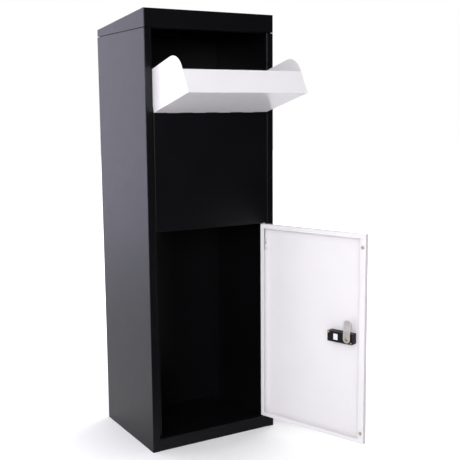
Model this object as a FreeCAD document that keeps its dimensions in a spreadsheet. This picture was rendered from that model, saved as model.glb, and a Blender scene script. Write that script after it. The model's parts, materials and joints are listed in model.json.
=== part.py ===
import FreeCAD, Part

import os
import re

import Sketcher

# A free-standing parcel drop box. +Z is up, the front faces -Y and the origin is the centre of the
# underside. The hopper and the door are drawn shut and then swung open about their own hinges,
# because the box stands with both open. Every length is in millimetres and every angle in degrees.

SIZES = {
    # Cabinet: folded steel sheet with a front frame of two jambs, a bottom rail and a middle panel.
    "width": 380, "depth": 310, "height": 1150, "sheet": 1.2, "bend": 1.8,
    "jamb": 20, "jamb_return": 18, "stop_lip": 14, "stiffener": 11, "shut_gap": 1.5,
    "rail_top": 33, "mid_bottom": 589, "mid_top": 892, "mid_recess": 0.5, "mid_shelf": 26,
    "seam_flange": 15, "floor_flange": 20, "back_low": 22, "rail_fold": 12, "fit": 0.5,
    "shelf_gap": 4, "panel_top": 1101.5, "rivet": 1.6, "rivet_head": 3.4, "rivet_inset": 30,
    "anchor_radius": 5, "anchor_pitch_x": 280, "anchor_pitch_y": 200,
    "wall_radius": 4, "wall_pitch_x": 240, "wall_pitch_z": 240, "wall_middle": 720,
    # Roof: a wedge-shaped cap, lower at the back, on a ring that leaves a narrow shadow joint.
    "roof_base": 1103.5, "roof_rear": 1121.5, "roof_lip": 17, "ring_inset": 5, "ring_width": 17,
    "ring_skirt": 18, "roof_screw_x": 178, "roof_screw_y": 90, "roof_screw": 1.9, "roof_head": 3.6,
    # Hopper: a flap with a folded front flange between two rounded cheeks, on a piano hinge.
    "axis_back": 3, "axis_height": 895, "knuckle": 3, "wire": 1.5, "wire_play": 0.05,
    "leaf": 22, "eyes": 9, "eye_gap": 0.4, "hinge_length": 334,
    "flap_bottom": 898.4, "flap_top": 1094, "flange": 62.2, "flange_angle": 75,
    "cheek_depth": 106, "cheek_round": 55, "weld_tab": 10, "stop_tab": 8, "stop_tab_start": 95.5,
    "pad_thick": 2.2, "pad_height": 34, "pad_middle": 986, "hopper_open": 76.3,
    # Door: a pan with inward lips, hung on a sprung upper pin and a fixed lower pin.
    "door_bottom": 35, "door_top": 587, "door_thick": 14, "edge_lip": 12, "free_lip": 16,
    "pin_inset": 6, "pin_back": 5, "pin": 2.5, "pin_play": 0.08, "pin_reach": 11,
    "bracket_top": 541, "bracket_bottom": 518, "bracket_wide": 17, "bracket_deep": 8,
    "bracket_web": 1, "bracket_thick": 1.6, "pin_foot": 6, "pin_nose": 1.2, "lower_pin": 12,
    "clip": 3.6, "clip_height": 574, "clip_thick": 1.2, "coil": 0.7,
    "finger": 1.5, "finger_height": 534, "finger_reach": 10,
    "bumper": 4.5, "stem": 2, "bumper_high": 2.2, "bumper_inset": 8, "bumper_low": 63, "bumper_top": 553,
    "washer": 4.8, "door_open": 109.1,
    # Lock: a case behind the door skin, a dial window and knob in front, and a cranked cam.
    "lock_height": 311, "lock_core": 46, "case_side": 14, "case_length": 75, "case_high": 28,
    "case_deep": 20.5, "case_rib": 1.2, "bezel": 6, "bezel_margin": 3, "bezel_round": 4,
    "core": 6, "core_play": 0.08, "knob": 12, "knob_deep": 16, "knob_disc": 5, "grip": 7,
    "dials": 4, "dial": 10, "dial_wide": 7, "dial_pitch": 10, "dial_from_core": 20,
    "dial_back": 3.2, "axle": 1.5, "dial_play": 0.06, "window_high": 22,
    "cam_wide": 21, "cam_reach": 48, "cam_thick": 2.5, "cam_gap": 2, "crank_start": 20,
    "crank_run": 9, "crank_drop": 5, "cam_round": 8, "square": 8,
    "screw_head": 2.8, "screw": 1.5, "screw_inset": 3.5, "axle_end": 4, "case_back_wall": 7,
    "label_wide": 13, "label_high": 16, "label_inset": 31.5, "label_thick": 0.3,
    "bolt": 2, "bolt_deep": 6, "bolt_head": 4.4,
}

LEFT = "(-width / 2)"
RIGHT = "(width / 2)"
FRONT = "(-depth / 2)"
BACK = "(depth / 2)"
OPENING = "(width / 2 - jamb)"
LEAF_HALF = f"({OPENING} - shut_gap)"
LIP_BACK = f"({FRONT} + jamb_return)"
LIP_FACE = f"({LIP_BACK} - sheet)"
DOOR_BACK = f"({FRONT} + door_thick)"
PIN_X = f"({LEAF_HALF} - pin_inset)"
PIN_Y = f"({FRONT} + pin_back)"
CORE_X = f"(lock_core - {LEAF_HALF})"
CASE_BACK = f"({FRONT} + sheet + case_deep)"
CASE_LOW_X = f"({CORE_X} - case_side)"
CASE_HIGH_X = f"({CORE_X} - case_side + case_length)"
DIAL_Y = f"({FRONT} + dial_back)"
AXIS_Y = f"({FRONT} + axis_back)"

RUN = {"XY": 2, "XZ": 1, "YZ": 0}
SLACK = 0.01

doc = FreeCAD.newDocument("parcel_drop_box")
nodes = []


def fill_sheet():
    """Put every driving dimension in the spreadsheet, with its name as the alias."""
    sheet = doc.addObject("Spreadsheet::Sheet", "Sizes")
    for row, (name, value) in enumerate(SIZES.items(), 1):
        sheet.set(f"A{row}", name)
        sheet.set(f"B{row}", str(value))
        sheet.setAlias(f"B{row}", name)
    doc.recompute()
    return sheet


sheet = fill_sheet()


def bound(text):
    """An expression in which every size's name refers to the spreadsheet."""
    def refer(word):
        return f"Sizes.{word[0]}" if word[0] in SIZES else word[0]
    return re.sub(r"[a-z]+(?:_[a-z]+)*", refer, str(text))


def value(text):
    """The number that an expression of sizes stands for."""
    return float(sheet.evalExpression(bound(text)))


def bind(item, **sizes):
    """Tie properties of an object to expressions of the sizes."""
    for name, text in sizes.items():
        item.setExpression(name, bound(text))


def put(item, x, y, z, rotation=FreeCAD.Rotation()):
    """Place an object at expressions of the sizes."""
    item.Placement = FreeCAD.Placement(FreeCAD.Vector(value(x), value(y), value(z)), rotation)
    for axis, text in zip("xyz", (x, y, z)):
        item.setExpression(f"Placement.Base.{axis}", bound(text))
    return item


def rectangle(u_low, v_low, u_high, v_high):
    """The corners of a rectangle, in order round it."""
    return [(u_low, v_low), (u_high, v_low), (u_high, v_high), (u_low, v_high)]


class Piece:
    """A PartDesign body made of outlines, each run between two levels along one row axis."""

    def __init__(self, label):
        self.body = doc.addObject("PartDesign::Body", label)
        self.body.Label = label
        nodes.append(self.body)

    def sketch(self, plane, level):
        """An empty sketch on the body's own origin plane, moved out to a level."""
        sketch = self.body.newObject("Sketcher::SketchObject", "outline")
        base = next(f for f in self.body.Origin.OriginFeatures if f.Role == f"{plane}_Plane")
        sketch.AttachmentSupport = (base, [""])
        sketch.MapMode = "FlatFace"
        side = "-1 * " if plane == "XZ" else ""
        sketch.setExpression("AttachmentOffset.Base.z", bound(f"{side}({level})"))
        return sketch

    def fix(self, sketch, geometry, point, u, v):
        """Hold one sketch point at its distances from the sketch's origin."""
        for kind, text in (("DistanceX", u), ("DistanceY", v)):
            rule = Sketcher.Constraint(kind, -1, 1, geometry, point, value(text))
            sketch.setExpression(f"Constraints[{sketch.addConstraint(rule)}]", bound(text))

    def draw(self, sketch, corners):
        """A closed outline of straight lines through the corners."""
        spots = [FreeCAD.Vector(value(u), value(v), 0) for u, v in corners]
        first = sketch.GeometryCount
        for start, end in zip(spots, spots[1:] + spots[:1]):
            sketch.addGeometry(Part.LineSegment(start, end))
        for n, (u, v) in enumerate(corners):
            after = first + (n + 1) % len(corners)
            sketch.addConstraint(Sketcher.Constraint("Coincident", first + n, 2, after, 1))
            self.fix(sketch, first + n, 1, u, v)

    def draw_circle(self, sketch, u, v, radius):
        """A circle of a given radius about one centre."""
        centre = FreeCAD.Vector(value(u), value(v), 0)
        ring = sketch.addGeometry(Part.Circle(centre, FreeCAD.Vector(0, 0, 1), value(radius)))
        self.fix(sketch, ring, 3, u, v)
        size = sketch.addConstraint(Sketcher.Constraint("Radius", ring, value(radius)))
        sketch.setExpression(f"Constraints[{size}]", bound(radius))

    def feature(self, kind, plane, low, high, outlines, circles, towards_high):
        """A pad or pocket of the outlines and circles, drawn at the low level."""
        sketch = self.sketch(plane, low)
        for corners in outlines:
            self.draw(sketch, corners)
        for u, v, radius in circles:
            self.draw_circle(sketch, u, v, radius)
        item = self.body.newObject(f"PartDesign::{kind}", kind.lower())
        item.Profile = sketch
        item.Reversed = towards_high
        bind(item, Length=f"({high}) - ({low})")
        doc.recompute()
        return item

    def pad(self, plane, low, high, *outlines, circles=()):
        """Add the outlines from one level to the other."""
        return self.feature("Pad", plane, low, high, outlines, circles, plane == "XZ")

    def cut(self, plane, low, high, *outlines, circles=()):
        """Take the outlines away from one level to the other, and check that something went."""
        before = self.body.Shape.Volume
        self.feature("Pocket", plane, low, high, outlines, circles, plane != "XZ")
        if self.body.Shape.Volume > before - SLACK:
            raise RuntimeError(f"a pocket in {self.body.Label} cuts nothing")

    def edges_at(self, plane, spots):
        """Names of the straight edges that run across a plane through the given spots."""
        run = RUN[plane]
        across = [axis for axis in range(3) if axis != run]
        wanted = [(value(u), value(v)) for u, v in spots]
        found = []
        for number, edge in enumerate(self.body.Shape.Edges, 1):
            if len(edge.Vertexes) != 2 or not isinstance(edge.Curve, Part.Line):
                continue
            start, end = (tuple(vertex.Point) for vertex in edge.Vertexes)
            for u, v in wanted:
                gaps = [abs(p[across[0]] - u) + abs(p[across[1]] - v) for p in (start, end)]
                if max(gaps) < SLACK:
                    found.append(f"Edge{number}")
        if len(found) < len(wanted):
            raise RuntimeError(f"{self.body.Label} lacks an edge to round")
        return found

    def bend(self, edges, radius="bend"):
        """Round edges of the body as it stands."""
        base = self.body.Tip
        item = self.body.newObject("PartDesign::Fillet", "fillet")
        item.Base = (base, edges)
        bind(item, Radius=radius)
        doc.recompute()


def box(x_low, y_low, z_low, x_high, y_high, z_high):
    """A block between two corners."""
    block = doc.addObject("Part::Box", "block")
    bind(block, Length=f"({x_high}) - ({x_low})", Width=f"({y_high}) - ({y_low})",
         Height=f"({z_high}) - ({z_low})")
    return put(block, x_low, y_low, z_low)


TURN = {"z": FreeCAD.Rotation(), "x": FreeCAD.Rotation(FreeCAD.Vector(0, 1, 0), 90),
        "y": FreeCAD.Rotation(FreeCAD.Vector(1, 0, 0), -90)}


def rod(x, y, z, radius, length, axis="z"):
    """A round bar that starts at a point and runs along an axis."""
    bar = doc.addObject("Part::Cylinder", "bar")
    bind(bar, Radius=radius, Height=length)
    return put(bar, x, y, z, TURN[axis])


def taper(x, y, z, radius_start, radius_end, length, axis="z"):
    """A cone-sided bar that starts at a point and runs along an axis."""
    cone = doc.addObject("Part::Cone", "taper")
    bind(cone, Radius1=radius_start, Radius2=radius_end, Height=length)
    return put(cone, x, y, z, TURN[axis])


def fuse(*items):
    """One solid made of all the items."""
    joined = doc.addObject("Part::MultiFuse", "joined")
    joined.Shapes = list(items)
    joined.Refine = True
    return joined


def drill(solid, *tools):
    """A solid less every tool."""
    holed = doc.addObject("Part::Cut", "holed")
    holed.Base = solid
    holed.Tool = tools[0] if len(tools) == 1 else fuse(*tools)
    return holed


def node(label, *solids):
    """One named sub-part, or a group of identical ones."""
    group = doc.addObject("Part::Compound", label)
    group.Label = label
    group.Links = list(solids)
    nodes.append(group)
    doc.recompute()
    return group


def swing(made, x, y, z, axis, angle):
    """Turn finished sub-parts about a hinge line."""
    centre = FreeCAD.Vector(value(x), value(y), value(z))
    turned = FreeCAD.Placement(FreeCAD.Vector(), FreeCAD.Rotation(axis, value(angle)), centre)
    for item in made:
        item.Placement = turned


# ---------------------------------------------------------------------------------- cabinet

def side_panel(label, side):
    """One side wall with its front jamb, the door stop lip below and a stiffening lip above."""
    wall = Piece(label)

    def x(inset):
        """A distance in from this side's outer face."""
        return f"{side} * (width / 2 - ({inset}))"

    profile = [(x("0"), FRONT), (x("jamb"), FRONT), (x("jamb"), LIP_BACK),
               (x("jamb - sheet"), LIP_BACK), (x("jamb - sheet"), f"{FRONT} + sheet"),
               (x("sheet"), f"{FRONT} + sheet"), (x("sheet"), BACK), (x("0"), BACK)]
    wall.pad("XY", "0", "panel_top", profile)
    wall.pad("XY", "rail_top", "mid_top - sheet - 2",
             rectangle(x("jamb"), LIP_FACE, x("jamb + stop_lip"), LIP_BACK))
    wall.pad("XY", "mid_top + shelf_gap", "panel_top",
             rectangle(x("jamb - sheet"), LIP_FACE, x("jamb - stiffener"), LIP_BACK))
    holes = [(x("jamb + stop_lip / 2"), height, "rivet") for height in rivet_heights()]
    wall.cut("XZ", LIP_FACE, LIP_BACK, circles=holes)
    folds = [(x("0"), FRONT), (x("jamb"), FRONT)]
    wall.bend(wall.edges_at("XY", folds))


def rivet_heights():
    """Heights of the rivets that hold the middle panel to the stop lips."""
    run = "(mid_top - mid_bottom - 2 * rivet_inset)"
    return [f"mid_bottom + rivet_inset + {n} * {run} / 2" for n in range(3)]


def base_pan():
    """Floor plate with upturned flanges and the front rail below the door."""
    pan = Piece("base_pan")
    inner = "(width / 2 - sheet)"
    behind = f"({LIP_BACK} + fit)"
    rear = f"({BACK} - sheet)"
    floor = [(f"-{OPENING}", FRONT), (OPENING, FRONT), (OPENING, behind), (inner, behind),
             (inner, rear), (f"-{inner}", rear), (f"-{inner}", behind), (f"-{OPENING}", behind)]
    pan.pad("XY", "0", "sheet", floor)
    rail = [(FRONT, "0"), (LIP_BACK, "0"), (LIP_BACK, "sheet"), (f"{FRONT} + sheet", "sheet"),
            (f"{FRONT} + sheet", "rail_top - sheet"), (LIP_FACE, "rail_top - sheet"),
            (LIP_FACE, "rail_top - rail_fold"), (LIP_BACK, "rail_top - rail_fold"),
            (LIP_BACK, "rail_top"), (FRONT, "rail_top")]
    pan.pad("YZ", f"-{OPENING}", OPENING, rail)
    for side in (-1, 1):
        pan.pad("YZ", f"{side} * {inner} - {(side + 1) // 2} * sheet",
                f"{side} * {inner} + {(1 - side) // 2} * sheet",
                rectangle(behind, "0", rear, "floor_flange"))
    pan.pad("XZ", f"{rear} - sheet", rear, rectangle(f"-{inner}", "0", inner, "floor_flange"))
    anchors = [(f"{i} * anchor_pitch_x / 2", f"{j} * anchor_pitch_y / 2", "anchor_radius")
               for i in (-1, 1) for j in (-1, 1)]
    pan.cut("XY", "0", "sheet", circles=anchors)
    pan.cut("XY", "rail_top - sheet", "rail_top", circles=[(PIN_X, PIN_Y, "pin")])
    pan.bend(pan.edges_at("YZ", [(FRONT, "0"), (FRONT, "rail_top")]))


def back_panel():
    """Rear wall between the sides, with flanges for the seams and holes for wall fixings."""
    panel = Piece("back_panel")
    inner = "(width / 2 - sheet)"
    flange = f"({BACK} - seam_flange)"
    tray = [(f"-{inner}", BACK), (f"-{inner}", flange), (f"sheet - {inner}", flange),
            (f"sheet - {inner}", f"{BACK} - sheet"), (f"{inner} - sheet", f"{BACK} - sheet"),
            (f"{inner} - sheet", flange), (inner, flange), (inner, BACK)]
    panel.pad("XY", "back_low", "panel_top", tray)
    panel.pad("XZ", f"{BACK} - sheet", BACK, rectangle(f"-{inner}", "0", inner, "back_low"))
    panel.pad("XY", "panel_top - sheet", "panel_top",
              rectangle(f"sheet - {inner}", flange, f"{inner} - sheet", f"{BACK} - sheet"))
    holes = [(f"{i} * wall_pitch_x / 2", f"wall_middle + {j} * wall_pitch_z / 2", "wall_radius")
             for i in (-1, 1) for j in (-1, 1)]
    panel.cut("XZ", f"{BACK} - sheet", BACK, circles=holes)
    panel.bend(panel.edges_at("XY", [(f"-{inner}", BACK), (inner, BACK)]), "sheet * 0.7")


def middle_panel():
    """Fixed front panel between the hopper and the door, folded back on all four sides."""
    panel = Piece("middle_panel")
    face = f"({FRONT} + mid_recess)"
    half = LEAF_HALF
    panel.pad("XZ", face, LIP_FACE, rectangle(f"-{half}", "mid_bottom", half, "mid_top"))
    panel.cut("XZ", f"{face} + sheet", f"{LIP_FACE} - sheet",
              rectangle(f"sheet - {half}", "mid_bottom + sheet", f"{half} - sheet", "mid_top - sheet"))
    panel.cut("XZ", f"{LIP_FACE} - sheet", LIP_FACE,
              rectangle(f"stop_lip - {half}", "mid_bottom + sheet", f"{half} - stop_lip",
                        "mid_top - sheet"))
    panel.pad("XZ", LIP_FACE, f"{FRONT} + mid_shelf",
              rectangle(f"-{half}", "mid_top - sheet", half, "mid_top"))
    holes = [(f"{side} * ({OPENING} - stop_lip / 2)", height, "rivet")
             for side in (-1, 1) for height in rivet_heights()]
    panel.cut("XZ", f"{LIP_FACE} - sheet", LIP_FACE, circles=holes)
    panel.cut("XY", "mid_bottom", "mid_bottom + sheet",
              circles=[(PIN_X, PIN_Y, "pin + pin_play")])
    panel.bend(panel.edges_at("YZ", [(face, "mid_bottom"), (face, "mid_top")])
               + panel.edges_at("XY", [(f"-{half}", face), (half, face)]), "bend - 0.2")


def panel_rivets():
    """Six dome-headed blind rivets through the stop lips and the middle panel."""
    rivets = []
    for side in (-1, 1):
        x = f"{side} * ({OPENING} - stop_lip / 2)"
        for height in rivet_heights():
            shank = rod(x, f"{LIP_FACE} - sheet - rivet", height, "rivet", "2 * sheet + rivet + 1", "y")
            tail = rod(x, f"{LIP_FACE} - sheet - 2", height, "rivet + 1", "2", "y")
            head = taper(x, LIP_BACK, height, "rivet_head", "rivet_head - 1.6", "1.4", "y")
            rivets.append(fuse(shank, tail, head))
    node("panel_rivets", *rivets)


def roof_cap():
    """Folded wedge-shaped roof with a lip turned in all round its open underside."""
    cap = Piece("roof_cap")
    slope = "((height - roof_rear) / depth)"
    outer = [(FRONT, "roof_base"), (BACK, "roof_base"), (BACK, "roof_rear"), (FRONT, "height")]
    cap.pad("YZ", LEFT, RIGHT, outer)
    front, rear = f"{FRONT} + sheet", f"{BACK} - sheet"
    hollow = [(front, "roof_base + sheet"), (rear, "roof_base + sheet"),
              (rear, f"roof_rear - sheet + sheet * {slope}"),
              (front, f"height - sheet - sheet * {slope}")]
    cap.cut("YZ", f"{LEFT} + sheet", f"{RIGHT} - sheet", hollow)
    cap.cut("XY", "roof_base", "roof_base + sheet",
            rectangle(f"{LEFT} + roof_lip", f"{FRONT} + roof_lip", f"{RIGHT} - roof_lip",
                      f"{BACK} - roof_lip"))
    cap.cut("XY", "roof_base", "roof_base + sheet", circles=roof_holes())
    edges = cap.edges_at("YZ", [(FRONT, "roof_base"), (BACK, "roof_base"), (BACK, "roof_rear"),
                                (FRONT, "height")])
    edges += cap.edges_at("XY", [(LEFT, FRONT), (RIGHT, FRONT), (LEFT, BACK), (RIGHT, BACK)])
    cap.bend(edges)


def roof_holes():
    """Places and radius of the roof's four screws."""
    return [(f"{i} * roof_screw_x", f"{j} * roof_screw_y", "roof_screw")
            for i in (-1, 1) for j in (-1, 1)]


def roof_ring():
    """Ring that joins the tops of the walls, set in to leave the shadow joint under the roof."""
    ring = Piece("roof_ring")
    out_x, out_y = "(width / 2 - ring_inset)", "(depth / 2 - ring_inset)"
    in_x, in_y = f"({out_x} - ring_width)", f"({out_y} - ring_width)"
    ring.pad("XY", "panel_top", "roof_base", rectangle(f"-{out_x}", f"-{out_y}", out_x, out_y),
             rectangle(f"-{in_x}", f"-{in_y}", in_x, in_y))
    wall = "(width / 2 - sheet)"
    start, end = f"{LIP_BACK} + shelf_gap", f"{BACK} - seam_flange - 2"
    for side in (-1, 1):
        ring.pad("YZ", f"{side} * {wall} - {(side + 1) // 2} * sheet",
                 f"{side} * {wall} + {(1 - side) // 2} * sheet",
                 rectangle(start, "panel_top - ring_skirt", end, "panel_top"))
    ring.pad("XY", "panel_top - sheet", "panel_top + 0.01",
             *[rectangle(f"{side} * {wall} - {(side + 1) // 2} * 6", start,
                         f"{side} * {wall} + {(1 - side) // 2} * 6", end) for side in (-1, 1)])
    ring.cut("XY", "panel_top", "roof_base", circles=roof_holes())


def roof_screws():
    """Four pan-head screws driven up through the ring into the roof's lips."""
    screws = []
    for x, y, radius in roof_holes():
        shank = rod(x, y, "panel_top", radius, "roof_base - panel_top + sheet + 3")
        head = taper(x, y, "panel_top - 2.2", "roof_head - 1", "roof_head", "2.2")
        screws.append(fuse(shank, head))
    node("roof_screws", *screws)


def hopper_stop_pads():
    """Rubber pads behind the jambs, which the hopper's stop tabs land on."""
    pads = []
    for side in (-1, 1):
        near, far = f"{side} * ({OPENING} + 1)", f"{side} * ({OPENING} + stiffener - 1)"
        low, high = (far, near) if side < 0 else (near, far)
        pads.append(box(low, LIP_BACK, "pad_middle - pad_height / 2", high,
                        f"{LIP_BACK} + pad_thick", "pad_middle + pad_height / 2"))
    node("hopper_stop_pads", *pads)


# ---------------------------------------------------------------------------------- hopper

def knuckled_leaf(label, plate, eye_tab, first_eye, count, bore):
    """One leaf of the piano hinge: a flat plate and every second eye round the wire."""
    leaf = Piece(label)
    half = "(hinge_length / 2)"
    leaf.pad("YZ", f"-{half}", half, plate)
    pitch = "(hinge_length / eyes)"
    low = f"(-{half} + {first_eye} * {pitch} + eye_gap / 2)"
    high = f"({low} + {pitch} - eye_gap)"
    eye = leaf.pad("YZ", low, high, circles=[(AXIS_Y, "axis_height", "knuckle")])
    tab = leaf.pad("YZ", low, high, eye_tab)
    row = leaf.body.newObject("PartDesign::LinearPattern", "eye_row")
    row.Originals = [eye, tab]
    row.Direction = (next(f for f in leaf.body.Origin.OriginFeatures if f.Role == "X_Axis"), [""])
    row.Occurrences = count
    bind(row, Length=f"2 * {pitch} * {count - 1}")
    leaf.body.Tip = row
    doc.recompute()
    leaf.cut("YZ", f"-{half} - fit", f"{half} + fit", circles=[(AXIS_Y, "axis_height", bore)])


def piano_hinge():
    """Fixed leaf on the middle panel's shelf, moving leaf inside the flap and the hinge wire."""
    shelf_end = f"{AXIS_Y} + leaf"
    knuckled_leaf("hopper_hinge_fixed_leaf",
                  rectangle(f"{AXIS_Y} + knuckle + fit", "mid_top", shelf_end, "mid_top + sheet"),
                  rectangle(AXIS_Y, "mid_top", f"{AXIS_Y} + knuckle + 1", "mid_top + sheet"),
                  0, 5, "wire")
    inside = f"{FRONT} + sheet"
    knuckled_leaf("hopper_hinge_moving_leaf",
                  rectangle(inside, "flap_bottom", f"{inside} + sheet", "flap_bottom + leaf - 4"),
                  rectangle(inside, "axis_height", f"{inside} + sheet", "flap_bottom + 1"),
                  1, 4, "wire + wire_play")
    node("hopper_hinge_wire",
         rod("-hinge_length / 2 - fit", AXIS_Y, "axis_height", "wire", "hinge_length + 2 * fit", "x"))


def hopper_flap():
    """Hopper front: a flat flap whose top edge is folded in as a flange between the cheeks."""
    flap = Piece("hopper_flap")
    lean = "(flange_angle * 1 deg)"
    tip_y = f"{FRONT} + flange * sin({lean})"
    tip_z = f"flap_top - flange * cos({lean})"
    corner_z = f"flap_top - sheet / tan({lean} / 2)"
    folded = [(FRONT, "flap_bottom"), (FRONT, "flap_top"), (tip_y, tip_z),
              (f"{tip_y} - sheet * cos({lean})", f"{tip_z} - sheet * sin({lean})"),
              (f"{FRONT} + sheet", corner_z), (f"{FRONT} + sheet", "flap_bottom")]
    inner = f"({LEAF_HALF} - sheet)"
    flap.pad("YZ", f"-{inner}", inner, folded)
    strip = [(FRONT, "flap_bottom"), (FRONT, "flap_top"),
             (f"{FRONT} + sheet", f"flap_top - sheet / tan({lean})"),
             (f"{FRONT} + sheet", "flap_bottom")]
    flap.pad("YZ", f"-{LEAF_HALF}", f"-{inner}", strip)
    flap.pad("YZ", inner, LEAF_HALF, strip)
    flap.bend(flap.edges_at("YZ", [(FRONT, "flap_top")]))
    flap.bend(flap.edges_at("YZ", [(FRONT, "flap_bottom")]), "sheet / 2")


def hopper_cheek(label, side):
    """One rounded end plate with a weld tab along the flap and a stop tab at the back corner."""
    cheek = Piece(label)
    inside = f"({FRONT} + sheet)"
    rear = f"({FRONT} + cheek_depth)"
    lean = "tan(flange_angle * 1 deg)"
    plate = [(inside, "flap_bottom"), (rear, "flap_bottom"), (rear, f"flap_top - cheek_depth / {lean}"),
             (inside, f"flap_top - sheet / {lean}")]

    def span(near, far):
        """Levels from near to far, measured in from the cheek's outer face."""
        ends = [f"{side} * ({LEAF_HALF} - ({inset}))" for inset in (near, far)]
        return ends if side < 0 else ends[::-1]

    cheek.pad("YZ", *span("0", "sheet"), plate)
    cheek.bend(cheek.edges_at("YZ", [(rear, f"flap_top - cheek_depth / {lean}")]), "cheek_round")
    cheek.pad("YZ", *span("sheet", "sheet + weld_tab"),
              rectangle(inside, "flap_bottom + leaf", f"{inside} + sheet", "flap_top - 22"))
    cheek.pad("YZ", *span("-stop_tab", "0"),
              rectangle(f"{FRONT} + stop_tab_start", "flap_bottom", rear, "flap_bottom + sheet"))


# ---------------------------------------------------------------------------------- door

def door_panel():
    """Door pan: a flat skin with walls and inward lips all round, cut out for the lock."""
    door = Piece("door_panel")
    half = LEAF_HALF
    door.pad("XZ", FRONT, DOOR_BACK, rectangle(f"-{half}", "door_bottom", half, "door_top"))
    door.cut("XZ", f"{FRONT} + sheet", f"{DOOR_BACK} - sheet",
             rectangle(f"sheet - {half}", "door_bottom + sheet", f"{half} - sheet",
                       "door_top - sheet"))
    door.cut("XZ", f"{DOOR_BACK} - sheet", DOOR_BACK,
             rectangle(f"free_lip - {half}", "door_bottom + edge_lip", f"{half} - edge_lip",
                       "door_top - edge_lip"))
    for z in ("door_bottom", "door_top - sheet"):
        door.cut("XY", z, f"{z} + sheet", circles=[(PIN_X, PIN_Y, "pin + pin_play")])
    through = [(CORE_X, "lock_height", "core + core_play")]
    through += [(x, z, "screw") for x, z in screw_spots()]
    door.cut("XZ", FRONT, f"{FRONT} + sheet", rectangle(*dial_window()), circles=through)
    stems = [(f"bumper_inset - {half}", height, "stem") for height in ("bumper_low", "bumper_top")]
    door.cut("XZ", f"{DOOR_BACK} - sheet", DOOR_BACK, circles=stems)
    edges = []
    for level in (FRONT, DOOR_BACK):
        edges += door.edges_at("YZ", [(level, "door_bottom"), (level, "door_top")])
        edges += door.edges_at("XY", [(f"-{half}", level), (half, level)])
    door.bend(edges)


def dial_window(margin="0"):
    """Corners of the opening that the dials stand in."""
    low = f"({CORE_X} + dial_from_core - dial_pitch / 2 - {margin})"
    return (low, f"lock_height - window_high / 2 - {margin}",
            f"({low} + dials * dial_pitch + 2 * {margin})", f"lock_height + window_high / 2 + {margin}")


def hinge_bracket():
    """U-shaped bracket welded to the door skin, which guides the sprung hinge pin."""
    bracket = Piece("door_hinge_bracket")
    skin = f"({FRONT} + sheet)"
    far = f"({LEAF_HALF} - sheet)"
    near = f"({far} - bracket_wide)"
    deep, web = f"({skin} + bracket_deep)", f"({skin} + bracket_web)"
    bracket.pad("YZ", near, far, [
        (skin, "bracket_bottom"), (deep, "bracket_bottom"), (deep, "bracket_bottom + bracket_thick"),
        (web, "bracket_bottom + bracket_thick"), (web, "bracket_top - bracket_thick"),
        (deep, "bracket_top - bracket_thick"), (deep, "bracket_top"), (skin, "bracket_top")])
    bracket.cut("XY", "bracket_bottom", "bracket_top", circles=[(PIN_X, PIN_Y, "pin + pin_play")])


def hinge_pins():
    """Sprung upper pin with its finger, clip and spring, and the fixed lower pin and washer."""
    foot, nose_start = "(bracket_bottom - pin_foot)", "(door_top + pin_reach - pin_nose)"
    shaft = rod(PIN_X, PIN_Y, foot, "pin", f"{nose_start} - {foot}")
    nose = taper(PIN_X, PIN_Y, nose_start, "pin", "pin - 1", "pin_nose")
    finger = rod(f"{PIN_X} - finger_reach", PIN_Y, "finger_height", "finger", "finger_reach", "x")
    node("upper_hinge_pin", fuse(shaft, nose, finger))
    tube("upper_pin_clip", "clip_height", "clip", "pin", "clip_thick")
    tube("upper_pin_spring", "bracket_top", "clip", "clip - coil", "clip_height - bracket_top")
    lower = rod(PIN_X, PIN_Y, "rail_top - sheet - 2", "pin", "sheet + 2 + lower_pin")
    tip = taper(PIN_X, PIN_Y, "rail_top + lower_pin", "pin", "pin - 1", "pin_nose")
    node("lower_hinge_pin", fuse(lower, tip))
    tube("lower_hinge_washer", "rail_top", "washer", "pin + pin_play", "shut_gap + 0.4")


def tube(label, start, outer, inner, length):
    """A round sleeve on the door's hinge line."""
    node(label, drill(rod(PIN_X, PIN_Y, start, outer, length), rod(PIN_X, PIN_Y, start, inner, length)))


def door_bumpers():
    """Two soft studs on the free-side lip, which meet the jamb's stop lip."""
    studs = []
    for height in ("bumper_low", "bumper_top"):
        x = f"bumper_inset - {LEAF_HALF}"
        stem = rod(x, f"{DOOR_BACK} - sheet - 1", height, "stem", "sheet + 1", "y")
        head = taper(x, DOOR_BACK, height, "bumper", "bumper - 1.2", "bumper_high", "y")
        studs.append(fuse(stem, head))
    node("door_bumpers", *studs)


# ---------------------------------------------------------------------------------- lock

def lock_case():
    """Plastic case on the inside of the door, with a dial chamber and ribs along its top."""
    case = Piece("lock_case")
    skin = f"({FRONT} + sheet)"
    low, high = "(lock_height - case_high / 2)", "(lock_height + case_high / 2)"
    case.pad("XZ", skin, CASE_BACK, rectangle(CASE_LOW_X, low, CASE_HIGH_X, high))
    case.cut("XZ", skin, f"{CASE_BACK} - case_back_wall", rectangle(*dial_window()))
    case.cut("XZ", skin, CASE_BACK, circles=[(CORE_X, "lock_height", "core + core_play")])
    case.pad("XZ", CASE_BACK, f"{CASE_BACK} + 1.4",
             circles=[(CORE_X, "lock_height", "core + 4"), (CORE_X, "lock_height", "core + core_play")])
    grooves = []
    for n in range(6):
        start = f"({CASE_HIGH_X} - 12 - {n} * 6)"
        grooves.append(rectangle(start, f"{high} - case_rib", f"{start} + 3", high))
    case.cut("XZ", f"{skin} + 4", f"{CASE_BACK} - 3", *grooves)
    case.cut("XZ", skin, CASE_BACK, circles=[(x, z, "screw") for x, z in screw_spots()])
    case.cut("YZ", *axle_ends(), circles=[(DIAL_Y, "lock_height", "axle")])


def screw_spots():
    """Centres of the two screws, at opposite corners of the case."""
    return [(f"({CASE_HIGH_X} - screw_inset)", "(lock_height + case_high / 2 - screw_inset)"),
            (f"({CASE_LOW_X} + screw_inset)", "(lock_height - case_high / 2 + screw_inset)")]


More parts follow.
